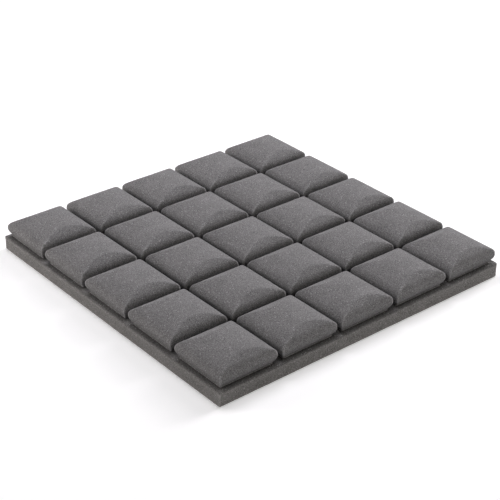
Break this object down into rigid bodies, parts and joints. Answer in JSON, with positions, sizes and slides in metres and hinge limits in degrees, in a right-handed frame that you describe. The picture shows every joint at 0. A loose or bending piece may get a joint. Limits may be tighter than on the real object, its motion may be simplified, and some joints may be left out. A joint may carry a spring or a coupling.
{
  "type": "acoustic foam panel",
  "caption": "Square acoustic foam tile with a grid of undercut mushroom shaped pads on a flat slab, for gluing to a wall or ceiling to damp echoes.",
  "frame": {"origin": "middle of the flat back, which is glued to the wall or lies on the table", "axes": "+Z out of the back towards the crowns of the pads; +X and +Y along the two sides of the square"},
  "size_m": [0.5, 0.5, 0.0535],
  "materials": {
    "pad_foam": "open cell polyurethane foam, mid grey, very matt",
    "slab_foam": "the same foam, cut sides of the slab"
  },
  "bodies": {
    "root": {"base_slab": "slab_foam", "pad_r1_c1": "pad_foam", "pad_r1_c2": "pad_foam", "pad_r1_c3": "pad_foam", "pad_r1_c4": "pad_foam", "pad_r1_c5": "pad_foam", "pad_r2_c1": "pad_foam", "pad_r2_c2": "pad_foam", "pad_r2_c3": "pad_foam", "pad_r2_c4": "pad_foam", "pad_r2_c5": "pad_foam", "pad_r3_c1": "pad_foam", "pad_r3_c2": "pad_foam", "pad_r3_c3": "pad_foam", "pad_r3_c4": "pad_foam", "pad_r3_c5": "pad_foam", "pad_r4_c1": "pad_foam", "pad_r4_c2": "pad_foam", "pad_r4_c3": "pad_foam", "pad_r4_c4": "pad_foam", "pad_r4_c5": "pad_foam", "pad_r5_c1": "pad_foam", "pad_r5_c2": "pad_foam", "pad_r5_c3": "pad_foam", "pad_r5_c4": "pad_foam", "pad_r5_c5": "pad_foam"}
  },
  "joints": []
}
